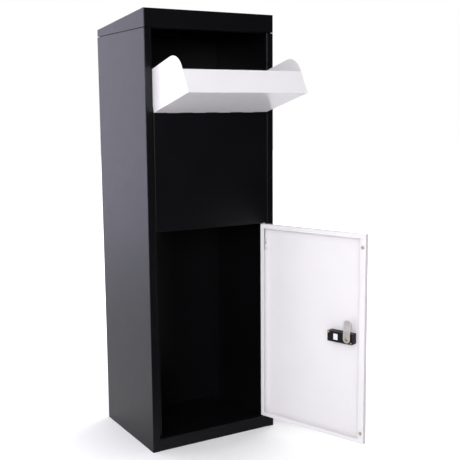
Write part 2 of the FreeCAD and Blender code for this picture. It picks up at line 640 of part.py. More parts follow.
def lock_bezel():
    """Moulded front plate of the lock, with one slot for each dial."""
    bezel = Piece("lock_bezel")
    face = f"({FRONT} - bezel)"
    low_x, high_x = f"({CASE_LOW_X} - bezel_margin)", f"({CASE_HIGH_X} + bezel_margin)"
    low_z = "(lock_height - case_high / 2 - bezel_margin)"
    high_z = "(lock_height + case_high / 2 + bezel_margin)"
    bezel.pad("XZ", face, FRONT, rectangle(low_x, low_z, high_x, high_z))
    slots = []
    for centre in dial_centres():
        slots.append(rectangle(f"{centre} - dial_wide / 2 - fit", "lock_height - window_high / 2",
                               f"{centre} + dial_wide / 2 + fit", "lock_height + window_high / 2"))
    bezel.cut("XZ", face, FRONT, *slots)
    bezel.cut("XZ", face, FRONT, circles=[(CORE_X, "lock_height", "core + core_play")])
    bezel.cut("XZ", f"{FRONT} - 3", FRONT, circles=[(x, z, "screw") for x, z in screw_spots()])
    corners = [(x, z) for x in (low_x, high_x) for z in (low_z, high_z)]
    bezel.bend(bezel.edges_at("XZ", corners), "bezel_round")
    rim = [f"Edge{number}" for number, edge in enumerate(bezel.body.Shape.Edges, 1)
           if on_outer_rim(edge, value(face), value(low_x), value(high_x), value(low_z), value(high_z))]
    bezel.bend(rim, "1")


def on_outer_rim(edge, level, low_x, high_x, low_z, high_z):
    """Whether an edge lies in a front face and on that face's outer outline."""
    bounds = edge.BoundBox
    if abs(bounds.YMin - level) > SLACK or abs(bounds.YMax - level) > SLACK:
        return False
    reach = min(bounds.XMin - low_x, high_x - bounds.XMax, bounds.ZMin - low_z, high_z - bounds.ZMax)
    return abs(reach) < SLACK


def dial_centres():
    """Places of the dials along the lock."""
    return [f"({CORE_X} + dial_from_core + {n} * dial_pitch)" for n in range(SIZES["dials"])]


def axle_ends():
    """Levels between which the dials' axle runs."""
    return f"({dial_window()[0]} - axle_end)", f"({dial_window()[2]} + axle_end)"


def lock_dials():
    """Number wheels on one axle."""
    for n, centre in enumerate(dial_centres(), 1):
        start = f"{centre} - dial_wide / 2"
        wheel = rod(start, DIAL_Y, "lock_height", "dial", "dial_wide", "x")
        bore = rod(start, DIAL_Y, "lock_height", "axle + dial_play", "dial_wide", "x")
        node(f"lock_dial_{n}", drill(wheel, bore))
    start, end = axle_ends()
    node("lock_dial_axle", rod(start, DIAL_Y, "lock_height", "axle", f"{end} - {start}", "x"))


def lock_core():
    """Turning core, its outside knob, the inside cam and the cam's screw."""
    cam_face = f"({CASE_BACK} + cam_gap)"
    start = f"({FRONT} - bezel - knob_disc)"
    barrel = rod(CORE_X, start, "lock_height", "core", f"{cam_face} - {start}", "y")
    tang = box(f"{CORE_X} - square / 2", cam_face, "lock_height - square / 2",
               f"{CORE_X} + square / 2", f"{cam_face} + cam_thick", "lock_height + square / 2")
    core = fuse(barrel, tang)
    bolt_start = f"{cam_face} - bolt_deep"
    thread = rod(CORE_X, bolt_start, "lock_height", "bolt", "cam_thick + bolt_deep", "y")
    node("lock_spindle", drill(core, thread))
    bolt = rod(CORE_X, bolt_start, "lock_height", "bolt", "cam_thick + bolt_deep + fit", "y")
    head = taper(CORE_X, f"{cam_face} + cam_thick", "lock_height", "bolt_head", "bolt_head - 1",
                 "bolt_head - 1.8", "y")
    node("cam_screw", fuse(bolt, head))
    lock_knob()
    lock_cam(cam_face)


def lock_knob():
    """Outside knob with a raised grip bar, seated on the core."""
    knob = Piece("lock_knob")
    base = f"({FRONT} - bezel - fit)"
    disc = f"({base} - knob_disc)"
    front = f"({base} - knob_deep)"
    knob.pad("XZ", disc, base, circles=[(CORE_X, "lock_height", "knob")])
    knob.pad("XZ", front, disc, rectangle(f"{CORE_X} - grip / 2", "lock_height - knob + 1",
                                          f"{CORE_X} + grip / 2", "lock_height + knob - 1"))
    knob.cut("XZ", f"{FRONT} - bezel - knob_disc", base, circles=[(CORE_X, "lock_height", "core")])
    grip_corners = [(f"{CORE_X} + {i} * grip / 2", f"lock_height + {j} * (knob - 1)")
                    for i in (-1, 1) for j in (-1, 1)]
    knob.bend(knob.edges_at("XZ", grip_corners), "2.5")


def lock_cam(face):
    """Cranked locking cam: it stands up when unlocked and turns behind the jamb's stop lip."""
    cam = Piece("lock_cam")
    near, far = "(lock_height + crank_start)", "(lock_height + crank_start + crank_run)"
    tip = "(lock_height + cam_reach)"
    foot = "(lock_height - cam_wide / 2)"
    back = f"({face} + cam_thick)"
    side_view = [(face, foot), (back, foot), (back, near), (f"{back} - crank_drop", far),
                 (f"{back} - crank_drop", tip), (f"{face} - crank_drop", tip),
                 (f"{face} - crank_drop", far), (face, near)]
    low, high = f"{CORE_X} - cam_wide / 2", f"{CORE_X} + cam_wide / 2"
    cam.pad("YZ", low, high, side_view)
    cam.cut("XZ", face, back, rectangle(f"{CORE_X} - square / 2", "lock_height - square / 2",
                                        f"{CORE_X} + square / 2", "lock_height + square / 2"))
    cam.bend(cam.edges_at("XZ", [(low, foot), (high, foot)]), "cam_wide / 2 - 0.2")
    cam.bend(cam.edges_at("XZ", [(low, tip), (high, tip)]), "cam_round")


def lock_trim():
    """Blank label and the two case screws."""
    label_x = f"({CASE_HIGH_X} - label_inset)"
    node("lock_label", box(label_x, CASE_BACK, "lock_height - label_high / 2",
                           f"{label_x} + label_wide", f"{CASE_BACK} + label_thick",
                           "lock_height + label_high / 2"))
    screws = []
    for x, z in screw_spots():
        shank = rod(x, f"{FRONT} - 3", z, "screw", "3 + sheet + case_deep", "y")
        head = taper(x, CASE_BACK, z, "screw_head", "screw_head - 0.8", "1.8", "y")
        screws.append(fuse(shank, head))
    node("lock_case_screws", *screws)


# ---------------------------------------------------------------------------------- assembly

def build():
    side_panel("left_side_panel", -1)
    side_panel("right_side_panel", 1)
    base_pan()
    back_panel()
    middle_panel()
    panel_rivets()
    roof_cap()
    roof_ring()
    roof_screws()
    hopper_stop_pads()
    piano_hinge()
    hopper_flap()
    hopper_cheek("hopper_left_cheek", -1)
    hopper_cheek("hopper_right_cheek", 1)
    door_panel()
    hinge_bracket()
    hinge_pins()
    door_bumpers()
    lock_case()
    lock_bezel()
    lock_dials()
    lock_core()
    lock_trim()


ON_HOPPER = ("hopper_flap", "hopper_left_cheek", "hopper_right_cheek", "hopper_hinge_moving_leaf")
ON_DOOR = ("door_", "upper_", "lock_", "cam_")


def open_up():
    """Swing the hopper out about its hinge wire and the door about its pins."""
    swing([n for n in nodes if n.Label in ON_HOPPER], "0", AXIS_Y, "axis_height",
          FreeCAD.Vector(1, 0, 0), "hopper_open")
    swing([n for n in nodes if n.Label.startswith(ON_DOOR)], PIN_X, PIN_Y, "0",
          FreeCAD.Vector(0, 0, 1), "door_open")
    doc.recompute()


def check():
    """Stop if any object failed to compute or any sub-part is not a valid solid."""
    for item in doc.Objects:
        if {"Invalid", "Error"} & set(item.State):
            raise RuntimeError(f"{item.Name} did not compute: {item.State}")
    for item in nodes:
        if item.Shape.isNull() or not item.Shape.isValid() or not item.Shape.Solids:
            raise RuntimeError(f"{item.Label} is not a valid solid")


def write():
    os.makedirs("parts", exist_ok=True)
    for item in nodes:
        item.Shape.exportStep(f"parts/{item.Label}.step")
        print(f"{item.Label:28s} solids {len(item.Shape.Solids)}  {item.Shape.Volume:12.1f} mm3")


build()
open_up()
check()
write()
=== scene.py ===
import json
import math

import bmesh
import bpy
from mathutils import Matrix, Vector

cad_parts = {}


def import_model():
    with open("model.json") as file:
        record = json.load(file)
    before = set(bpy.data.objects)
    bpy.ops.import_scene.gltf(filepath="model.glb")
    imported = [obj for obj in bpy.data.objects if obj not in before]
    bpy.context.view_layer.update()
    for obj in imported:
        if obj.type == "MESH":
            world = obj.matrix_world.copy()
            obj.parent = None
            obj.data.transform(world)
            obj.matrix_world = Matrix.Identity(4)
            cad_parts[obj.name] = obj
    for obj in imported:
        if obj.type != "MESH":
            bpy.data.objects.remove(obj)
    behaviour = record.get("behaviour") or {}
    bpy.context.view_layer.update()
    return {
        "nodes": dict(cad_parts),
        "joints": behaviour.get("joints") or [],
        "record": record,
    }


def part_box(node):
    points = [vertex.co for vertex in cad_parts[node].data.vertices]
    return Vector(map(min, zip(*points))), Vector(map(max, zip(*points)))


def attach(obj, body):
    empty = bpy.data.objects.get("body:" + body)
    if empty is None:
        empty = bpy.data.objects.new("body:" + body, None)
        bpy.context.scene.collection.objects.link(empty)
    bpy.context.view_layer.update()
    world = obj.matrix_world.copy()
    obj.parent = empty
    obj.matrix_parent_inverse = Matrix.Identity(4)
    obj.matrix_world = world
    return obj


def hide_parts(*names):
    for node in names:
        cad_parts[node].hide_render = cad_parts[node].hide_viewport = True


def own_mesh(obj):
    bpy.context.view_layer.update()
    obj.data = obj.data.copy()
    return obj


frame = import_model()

# The looks of a parcel drop box, in metres and in the row frame: +Z up, front towards -Y.
# Pieces on the door are drawn as if it was shut, and then swung open with it.

NODES = frame["nodes"]
JOINTS = {joint["name"]: joint for joint in frame["joints"]}
BODY_OF = {node: body for body, members in frame["record"]["behaviour"]["bodies"].items()
           for node in members}
SLOT_OF = {part["node"]: part["material_slot"] for part in frame["record"]["subparts"]}
MM = 0.001


def door_swing():
    """The matrix that takes a point from its place with the door shut to its place at rest."""
    joint = JOINTS["door_hinge"]
    pivot = Vector(joint["pos_m"])
    shut = math.radians(joint["range_deg"][0])
    return (Matrix.Translation(pivot) @ Matrix.Rotation(-shut, 4, Vector(joint["axis"]))
            @ Matrix.Translation(-pivot))


IN_PLACE = Matrix.Identity(4)
DOOR = door_swing()


# ---------------------------------------------------------------------------------- materials

def add_node(tree, kind, inputs=(), **settings):
    """A node with its settings made and its inputs filled from numbers or other sockets."""
    node = tree.nodes.new(kind)
    for name, value in settings.items():
        setattr(node, name, value)
    for socket, value in dict(inputs).items():
        if isinstance(value, bpy.types.NodeSocket):
            tree.links.new(value, node.inputs[socket])
        else:
            node.inputs[socket].default_value = value
    return node


def mixed(tree, factor, first, second):
    """One shader or another, by a factor from 0 to 1."""
    return add_node(tree, "ShaderNodeMixShader", {"Fac": factor, 1: first, 2: second}).outputs["Shader"]


class Nodes:
    """A new procedural material and short ways to add nodes to it."""

    def __init__(self, name, **shader):
        self.material = bpy.data.materials.new(name)
        self.material.use_nodes = True
        self.tree = self.material.node_tree
        self.shader = self.tree.nodes["Principled BSDF"]
        for socket, value in shader.items():
            self.shader.inputs[socket.replace("_", " ")].default_value = value
        self.place = self.add("ShaderNodeTexCoord").outputs["Object"]

    def add(self, kind, inputs=(), **settings):
        """A node in this material."""
        return add_node(self.tree, kind, inputs, **settings)

    def reckon(self, operation, *values):
        """The result of a maths node."""
        return self.add("ShaderNodeMath", dict(enumerate(values)), operation=operation).outputs["Value"]

    def vector(self, operation, *vectors):
        """The outputs of a vector maths node."""
        return self.add("ShaderNodeVectorMath", dict(enumerate(vectors)), operation=operation).outputs

    def stretched(self, scale):
        """The object's coordinates with each axis scaled."""
        return self.add("ShaderNodeMapping", {"Vector": self.place, "Scale": scale}).outputs["Vector"]

    def noise(self, scale, detail=2.0, roughness=0.5, place=None):
        """Noise from 0 to 1, with a scale in cells per metre."""
        node = self.add("ShaderNodeTexNoise", {"Vector": place or self.place, "Scale": scale,
                                               "Detail": detail, "Roughness": roughness})
        return node.outputs["Fac"]

    def spread(self, value, low, high, start=0.3, end=0.7):
        """A value's range from start to end laid over the range from low to high."""
        node = self.add("ShaderNodeMapRange", {"Value": value, "From Min": start, "From Max": end,
                                               "To Min": low, "To Max": high})
        return node.outputs["Result"]

    def shade(self, value, dark, light):
        """A colour between two, by a value from 0 to 1."""
        node = self.add("ShaderNodeMix", {"Factor": value}, data_type="RGBA")
        node.inputs["A"].default_value = (*dark, 1)
        node.inputs["B"].default_value = (*light, 1)
        return node.outputs["Result"]

    def drive(self, socket, value):
        """Let a node's output set one of the shader's inputs."""
        self.tree.links.new(value, self.shader.inputs[socket])

    def tint(self, value, dark, light):
        """Colour the surface between two shades, by noise."""
        self.drive("Base Color", self.shade(self.spread(value, 0, 1), dark, light))

    def relief(self, height, depth, strength=1.0, below=None):
        """Bump of a height from 0 to 1 and a depth in metres, on top of another bump."""
        inputs = {"Height": height, "Distance": depth, "Strength": strength}
        if below:
            inputs["Normal"] = below
        return self.add("ShaderNodeBump", inputs).outputs["Normal"]


def black_steel():
    """Black powder coat: a fine orange peel and slight cloudiness."""
    m = Nodes("black_powder_coat", Specular_IOR_Level=0.35)
    m.tint(m.noise(7, 3), (0.0014, 0.0014, 0.0022), (0.0024, 0.0024, 0.0036))
    m.drive("Roughness", m.spread(m.noise(45, 4), 0.37, 0.395))
    peel = m.relief(m.noise(620, 2), 0.00005, 0.4)
    m.drive("Normal", m.relief(m.noise(2600, 1), 0.00002, 0.35, peel))
    return m.material


def white_steel():
    """White powder coat: smoother and glossier than the black, a little cool."""
    m = Nodes("white_powder_coat", Specular_IOR_Level=0.5)
    m.tint(m.noise(9, 3), (0.805, 0.790, 0.812), (0.825, 0.810, 0.832))
    m.drive("Roughness", m.spread(m.noise(40, 4), 0.20, 0.26))
    peel = m.relief(m.noise(520, 2), 0.00004, 0.35)
    m.drive("Normal", m.relief(m.noise(2400, 1), 0.000015, 0.3, peel))
    return m.material


def zinc_steel():
    """Zinc-plated steel: warm grey, with rolling marks and a blotchy passivation."""
    m = Nodes("zinc_plated_steel", Metallic=1.0)
    m.tint(m.noise(140, 4, 0.6), (0.66, 0.635, 0.60), (0.80, 0.775, 0.74))
    lines = m.noise(60, 3, 0.6, m.stretched((1, 1, 22)))
    m.drive("Roughness", m.spread(lines, 0.34, 0.52))
    m.drive("Normal", m.relief(lines, 0.00003, 0.35))
    return m.material


def rubber():
    """Black rubber with a dull, slightly dusty skin."""
    m = Nodes("black_rubber", Specular_IOR_Level=0.3)
    m.tint(m.noise(150, 4), (0.016, 0.016, 0.017), (0.034, 0.033, 0.032))
    m.drive("Roughness", m.spread(m.noise(300, 3), 0.68, 0.85))
    m.drive("Normal", m.relief(m.noise(1800, 3), 0.00005, 0.5))
    return m.material


def beige_nylon():
    """Natural nylon, a little waxy."""
    m = Nodes("beige_nylon", Subsurface_Weight=0.15)
    m.shader.inputs["Subsurface Radius"].default_value = (0.0012, 0.0009, 0.0006)
    m.tint(m.noise(300, 3), (0.34, 0.295, 0.235), (0.46, 0.41, 0.34))
    m.drive("Roughness", m.spread(m.noise(500, 2), 0.42, 0.56))
    m.drive("Normal", m.relief(m.noise(1500, 2), 0.00002, 0.3))
    return m.material


def black_plastic():
    """Moulded black plastic with a fine spark-eroded grain."""
    m = Nodes("black_moulded_plastic", Specular_IOR_Level=0.24)
    m.tint(m.noise(60, 3), (0.0028, 0.0028, 0.0034), (0.006, 0.006, 0.0068))
    m.drive("Roughness", m.spread(m.noise(700, 3), 0.30, 0.44))
    m.drive("Normal", m.relief(m.noise(2200, 2), 0.00004, 0.45))
    return m.material


def dial_plastic():
    """Number wheels: smoother black plastic, slightly polished by fingers."""
    m = Nodes("dial_plastic", Specular_IOR_Level=0.5)
    m.tint(m.noise(90, 3), (0.014, 0.014, 0.016), (0.024, 0.024, 0.027))
    m.drive("Roughness", m.spread(m.noise(260, 3), 0.26, 0.42))
    m.drive("Normal", m.relief(m.noise(1200, 2), 0.00002, 0.3))
    return m.material


def digit_paint():
    """White ink filled into the wheels' digits."""
    m = Nodes("digit_paint", Roughness=0.55)
    m.tint(m.noise(900, 2), (0.74, 0.74, 0.72), (0.84, 0.84, 0.82))
    return m.material


def brass():
    """Yellow-passivated screws: golden and a little blotchy."""
    m = Nodes("yellow_passivated_steel", Metallic=1.0)
    m.tint(m.noise(420, 3), (0.62, 0.40, 0.12), (0.80, 0.62, 0.30))
    m.drive("Roughness", m.spread(m.noise(600, 2), 0.22, 0.36))
    m.drive("Normal", m.relief(m.noise(1600, 2), 0.00002, 0.3))
    return m.material


def label():
    """Blank white film with a slight wrinkle."""
    m = Nodes("blank_label", Roughness=0.38, Specular_IOR_Level=0.5)
    m.tint(m.noise(120, 3), (0.78, 0.79, 0.81), (0.83, 0.84, 0.86))
    m.drive("Normal", m.relief(m.noise(160, 2), 0.00008, 0.4))
    return m.material


MATERIALS = {
    "black_steel": black_steel(), "white_steel": white_steel(), "zinc_steel": zinc_steel(),
    "rubber": rubber(), "beige_nylon": beige_nylon(), "black_plastic": black_plastic(),
    "dial_plastic": dial_plastic(), "brass": brass(), "label": label()}
DIGIT_PAINT = digit_paint()


def paint_nodes():
    """Give every CAD node its finish."""
    for name, node in NODES.items():
        node.data.materials.clear()
        node.data.materials.append(MATERIALS[SLOT_OF[name]])


# ---------------------------------------------------------------------------------- mesh helpers

SHARP_EDGE, ROUNDED_EDGE, FLAT = math.radians(35), math.radians(40), math.radians(1)
SAME_POINT = 0.001 * MM
RIM_SHARE = 0.9
SHANK_STEPS, STUD_STEPS, HEAD_STEPS, WHEEL_STEPS = 20, 28, 40, 120
RIGHT, REAR, FRONT, UP, DOWN = (1, 0, 0), (0, 1, 0), (0, -1, 0), (0, 0, 1), (0, 0, -1)


def new_object(name, data):
    """An object in the scene that shows a mesh, a text, a light or a camera."""
    thing = bpy.data.objects.new(name, data)
    bpy.context.scene.collection.objects.link(thing)
    return thing


def mesh_object(name, tool):
    """An object in the scene made of a bmesh, which is used up."""
    data = bpy.data.meshes.new(name)
    tool.to_mesh(data)
    tool.free()
    return new_object(name, data)


def baked(thing):
    """The mesh that an object shows. The object itself is removed."""
    graph = bpy.context.evaluated_depsgraph_get()
    mesh = bpy.data.meshes.new_from_object(thing.evaluated_get(graph))
    bpy.data.objects.remove(thing)
    return mesh


def box_before(node, place):
    """Lowest and highest corner of a CAD node before it is moved by a matrix."""
    back = place.inverted()
    points = [back @ vertex.co for vertex in NODES[node].data.vertices]
    return Vector(map(min, *points)), Vector(map(max, *points))


def corners_inset(node, inset, opening=IN_PLACE):
    """A node's lowest and highest corner, each moved in by an inset."""
    low, high = box_before(node, opening)
    return low + Vector((inset,) * 3), high - Vector((inset,) * 3)


def finish_mesh(tool, place, node, extra=()):
    """Turn a bmesh into a piece that stands for a CAD node and rides on its body."""
    bmesh.ops.recalc_face_normals(tool, faces=tool.faces)
    piece = mesh_object(f"{node}_look", tool)
    data = piece.data
    data.transform(place)
    for material in (MATERIALS[SLOT_OF[node]], *extra):
        data.materials.append(material)
    data.shade_smooth()
    data.set_sharp_from_angle(angle=SHARP_EDGE)
    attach(piece, BODY_OF[node])
    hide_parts(node)
    return piece


def round_edges(piece, width, segments=2):
    """Round a piece's sharp edges."""
    rounding = piece.modifiers.new("rounding", "BEVEL")
    rounding.width = width
    rounding.segments = segments
    rounding.limit_method = "ANGLE"
    rounding.angle_limit = ROUNDED_EDGE
    rounding.harden_normals = True


def softened(node, width):
    """A copy of a CAD node with its flat faces joined up and its edges rounded."""
    tool = bmesh.new()
    tool.from_mesh(NODES[node].data)
    bmesh.ops.remove_doubles(tool, verts=tool.verts, dist=SAME_POINT)
    bmesh.ops.dissolve_limit(tool, angle_limit=FLAT, verts=tool.verts, edges=tool.edges)
    round_edges(finish_mesh(tool, IN_PLACE, node), width)


def uncarved(radius, turn):
    """The same radius all the way round."""
    return radius


def rim_only(carve, rim):
    """A way of carving that leaves all but the outermost part of a wheel as it is."""
    return lambda radius, turn: carve(radius, turn) if radius > RIM_SHARE * rim else radius


def lathe(tool, outline, steps, place=IN_PLACE, carve=uncarved):
    """A solid of revolution about Z, over an outline of (radius, height) points."""
    rings = []
    for radius, height in outline:
        if radius == 0:
            rings.append([tool.verts.new(place @ Vector((0, 0, height)))])
            continue
        ring = []
        for step in range(steps):
            turn = 2 * math.pi * step / steps
            reach = carve(radius, turn)
            point = Vector((reach * math.cos(turn), reach * math.sin(turn), height))
            ring.append(tool.verts.new(place @ point))
        rings.append(ring)
    for low, high in zip(rings, rings[1:]):
        for step in range(steps):
            after = (step + 1) % steps
            corners = [low[step % len(low)], low[after % len(low)], high[after % len(high)],
                       high[step % len(high)]]
            tool.faces.new(list(dict.fromkeys(corners)))


def loft(tool, rings):
    """A closed solid through rings of equally many points."""
    rings = [[tool.verts.new(point) for point in ring] for ring in rings]
    for low, high in zip(rings, rings[1:]):
        for step in range(len(low)):
            after = (step + 1) % len(low)
            tool.faces.new((low[step], low[after], high[after], high[step]))
    tool.faces.new(rings[0][::-1])
    tool.faces.new(rings[-1])


def arc(centre_r, centre_z, radius, start, end, steps=6):
    """Points of a round stretch of an outline, with angles in degrees."""
    turns = [math.radians(start + (end - start) * step / steps) for step in range(steps + 1)]
    return [(centre_r + radius * math.cos(turn), centre_z + radius * math.sin(turn)) for turn in turns]


def facing(place, direction):
    """The matrix that moves the origin to a place and turns Z along a direction."""
    return Matrix.Translation(place) @ Vector(direction).to_track_quat("Z", "Y").to_matrix().to_4x4()


def add_mesh(tool, mesh, place):
    """Add a placed copy of a mesh to a bmesh."""
    copy = mesh.copy()
    copy.transform(place)
    tool.from_mesh(copy)
    bpy.data.meshes.remove(copy)


def slab(tool, low, high):
    """A closed block between two corners."""
    place = Matrix.Translation((low + high) / 2) @ Matrix.Diagonal((*(high - low), 1))
    bmesh.ops.create_cube(tool, size=1, matrix=place)


# ---------------------------------------------------------------------------------- fixings

def cross_head(height):
    """A pan head of radius 1 with a cross recess that narrows downwards, as a mesh."""
    arm, half = 0.52, 0.12
    narrow_end, wide_end = (0.45, 0.25 * height), (1, 1.2 * height)
    outline = [(0, 0), (0.97, 0), (1, 0.04)] + arc(0.72, 0.14, 0.28, 0, 50, 4)
    outline += [(0.62, 0.93 * height), (0.3, 0.99 * height), (0, height)]
    tool = bmesh.new()
    lathe(tool, outline, HEAD_STEPS)
    head = mesh_object("head", tool)
    cross = []
    for quarter in range(4):
        turn = math.pi / 2 * quarter
        cross += [(x * math.cos(turn) - y * math.sin(turn), x * math.sin(turn) + y * math.cos(turn))
                  for x, y in ((arm, -half), (arm, half), (half, half))]
    tool = bmesh.new()
    loft(tool, [[(share * x, share * y, level) for x, y in cross]
                for share, level in (narrow_end, wide_end)])
    cutter = mesh_object("cutter", tool)
    cut = head.modifiers.new("recess", "BOOLEAN")
    cut.object = cutter
    cut.operation = "DIFFERENCE"
    cut.solver = "EXACT"
    mesh = baked(head)
    bpy.data.objects.remove(cutter)
    return mesh


def screws(node, spots, direction, radius, height, shank, length, opening=IN_PLACE):
    """Cross-recessed screws whose heads stand on the spots and point along a direction."""
    first_turn, next_turn = 20, 50
    outline = [(0, -length), (0.8 * shank, -length), (shank, -length + 0.4 * shank), (shank, 0), (0, 0)]
    tool = bmesh.new()
    head = cross_head(height / radius)
    for number, spot in enumerate(spots):
        turn = math.radians(first_turn + next_turn * number)
        place = facing(spot, direction) @ Matrix.Rotation(turn, 4, "Z")
        add_mesh(tool, head, place @ Matrix.Scale(radius, 4))
        lathe(tool, outline, SHANK_STEPS, place)
    bpy.data.meshes.remove(head)
    finish_mesh(tool, opening, node)


def case_screws():
    """Two screws at opposite corners of the lock case."""
    radius, height = 2.8 * MM, 1.8 * MM
    low, high = corners_inset("lock_case_screws", radius, DOOR)
    base = box_before("lock_case_screws", DOOR)[1].y - height
    spots = [Vector((high.x, base, high.z)), Vector((low.x, base, low.z))]
    screws("lock_case_screws", spots, REAR, radius, height, shank=1.5 * MM, length=8 * MM, opening=DOOR)


def cam_screw():
    """The screw that holds the cam on its square."""
    low, high = box_before("cam_screw", DOOR)
    radius, height = (high.x - low.x) / 2, 2.6 * MM
    spot = Vector(((low.x + high.x) / 2, high.y - height, (low.z + high.z) / 2))
    screws("cam_screw", [spot], REAR, radius, height, shank=2 * MM, length=7 * MM, opening=DOOR)


def roof_screws():
    """Four screws driven up into the roof."""
    radius, height = 3.6 * MM, 2.2 * MM
    low, high = corners_inset("roof_screws", radius)
    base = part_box("roof_screws")[0].z + height
    spots = [Vector((x, y, base)) for x in (low.x, high.x) for y in (low.y, high.y)]
    screws("roof_screws", spots, DOWN, radius, height, shank=1.9 * MM, length=6 * MM)


def panel_rivets():
    """Blind rivets with domed heads that have a hollow top, and a bulged tail."""
    radius, dome, hollow = 3.4 * MM, 1.4 * MM, 0.9 * MM
    shank, grip, bulge, tail = 1.6 * MM, 4 * MM, 2.6 * MM, 1 * MM
    outline = [(0, -grip - tail), (2.2 * MM, -grip - 0.8 * tail), (bulge, -grip), (shank, -grip + tail),
               (shank, 0), (0.94 * radius, 0), (radius, 0.2 * MM), (0.8 * radius, 0.8 * MM),
               (0.5 * radius, 1.25 * MM), (0.34 * radius, dome), (0.28 * radius, hollow), (0, hollow)]
    low, high = corners_inset("panel_rivets", radius)
    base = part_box("panel_rivets")[1].y - dome
    tool = bmesh.new()
    for x in (low.x, high.x):
        for z in (low.z, (low.z + high.z) / 2, high.z):
            lathe(tool, outline, STUD_STEPS, facing(Vector((x, base, z)), REAR))
    finish_mesh(tool, IN_PLACE, "panel_rivets")


def door_bumpers():
    """Two round studs with a soft edge and a shallow dimple."""
    radius, height, edge, stud, dimple = 4.5 * MM, 2.2 * MM, 1.2 * MM, 2 * MM, 1.6 * MM
    outline = [(0, -stud), (stud, -stud), (stud, 0), (radius, 0), (radius, 0.5 * MM)]
    outline += arc(radius - edge, height - edge, edge, 10, 80)
    outline += [(dimple, height), (1.1 * MM, height - 0.3 * MM), (0, height - 0.35 * MM)]
    low, high = corners_inset("door_bumpers", radius, DOOR)
    base = box_before("door_bumpers", DOOR)[1].y - height
    tool = bmesh.new()
    for z in (low.z, high.z):
        lathe(tool, outline, HEAD_STEPS, facing(Vector(((low.x + high.x) / 2, base, z)), REAR))
    finish_mesh(tool, DOOR, "door_bumpers")


def stop_pads():
    """Two moulded rubber pads with rounded edges and cross ribs on their faces."""
    ribs, gap, proud, rounding = 5, 1.2 * MM, 0.5 * MM, 0.35 * MM
    low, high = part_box("hopper_stop_pads")
    inner = min(abs(vertex.co.x) for vertex in NODES["hopper_stop_pads"].data.vertices)
    pitch = (high.z - low.z) / ribs
    tool = bmesh.new()
    for side in (-1, 1):
        left, right = sorted((side * inner, side * high.x))
        slab(tool, Vector((left, low.y, low.z)), Vector((right, high.y - proud, high.z)))
        for rib in range(ribs):
            base = low.z + rib * pitch
            slab(tool, Vector((left + gap, high.y - 2 * proud, base + gap)),
                 Vector((right - gap, high.y, base + pitch - gap)))
    round_edges(finish_mesh(tool, IN_PLACE, "hopper_stop_pads"), rounding)


def pin_spring():
    """The upper pin's coil spring, built as it stands at rest. The real one shortens towards its bracket
    as the pin is drawn down; this one does not.
    """
    wire, coils, steps, sides = 0.35 * MM, 11, 24, 8
    low, high = box_before("upper_pin_spring", DOOR)
    centre = (low + high) / 2
    radius = (high.x - low.x) / 2 - wire
    rise = high.z - low.z - 2 * wire
    angles = [2 * math.pi * side / sides for side in range(sides)]
    rings = []
    for step in range(coils * steps + 1):
        turn = 2 * math.pi * step / steps
        out = Vector((math.cos(turn), math.sin(turn), 0))
        level = low.z + wire + rise * step / (coils * steps)
        middle = Vector((centre.x, centre.y, level)) + radius * out
        rings.append([middle + wire * (math.cos(angle) * out + math.sin(angle) * Vector(UP))
                      for angle in angles])
    tool = bmesh.new()
    loft(tool, rings)
    piece = finish_mesh(tool, DOOR, "upper_pin_spring")
    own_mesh(piece)


def fixings():
    """Screws, rivets, bumpers, pads and the spring, all outside the lock."""
    roof_screws()
    panel_rivets()
    door_bumpers()
    stop_pads()
    pin_spring()


# ---------------------------------------------------------------------------------- lock

SHOWN_DIGITS = (7, 0, 4, 2)
DIGIT_TILT = 2 * math.pi / 10
DIGIT_SIZE, DIGIT_HALF_DEPTH = 5.2 * MM, 0.08 * MM
DIGIT_SLOT = 1
NOTCH_DEPTH, NOTCH_HALF = 0.55 * MM, math.radians(6)
FLUTES, FLUTE_SHARE = 24, 0.03


def digit_mesh(digit):
    """One digit as a thin closed mesh, centred, reading along X with its top towards Y."""
    text = bpy.data.curves.new("digit", "FONT")
    text.body = str(digit)
    text.size = DIGIT_SIZE
    text.align_x = "CENTER"
    text.align_y = "CENTER"
    text.extrude = DIGIT_HALF_DEPTH
    text.resolution_u = 3
    mesh = baked(new_object("digit", text))
    bpy.data.curves.remove(text)
    return mesh


def notched(radius, turn):
    """A number wheel's rim, with a finger notch between every two digits."""
    from_notch = abs((turn / DIGIT_TILT) % 1 - 0.5) * DIGIT_TILT
    return radius - NOTCH_DEPTH * max(0, 1 - from_notch / NOTCH_HALF)


def fluted(radius, turn):
    """The knob's rim, with shallow flutes."""
    return radius * (1 - FLUTE_SHARE * (0.5 + 0.5 * math.cos(FLUTES * turn)))


def number_wheel(node, shown):
    """A number wheel with notched rim, chamfered sides and the ten digits; one faces the front."""
    low, high = box_before(node, DOOR)
    centre, radius, half = (low + high) / 2, (high.z - low.z) / 2, (high.x - low.x) / 2
    rim, hub, chamfer, groove = radius - 0.12 * MM, 1.56 * MM, 0.6 * MM, 0.3 * MM
    side = [(hub, half), (0.7 * radius, half), (0.72 * radius, half - groove),
            (0.84 * radius, half - groove), (0.86 * radius, half), (rim - chamfer, half),
            (rim, half - chamfer)]
    outline = [(reach, -height) for reach, height in side] + side[::-1] + [(hub, -half)]
    tool = bmesh.new()
    lathe(tool, outline, WHEEL_STEPS, facing(centre, RIGHT), rim_only(notched, rim))
    bmesh.ops.remove_doubles(tool, verts=tool.verts, dist=SAME_POINT)
    for digit in range(10):
        mesh = digit_mesh(digit)
        for vertex in mesh.vertices:
            angle = (shown - digit) * DIGIT_TILT + vertex.co.y / rim
            reach = rim + vertex.co.z
            vertex.co = centre + Vector((vertex.co.x, -reach * math.cos(angle), reach * math.sin(angle)))
        for face in mesh.polygons:
            face.material_index = DIGIT_SLOT
        add_mesh(tool, mesh, IN_PLACE)
        bpy.data.meshes.remove(mesh)
    finish_mesh(tool, DOOR, node, extra=(DIGIT_PAINT,))


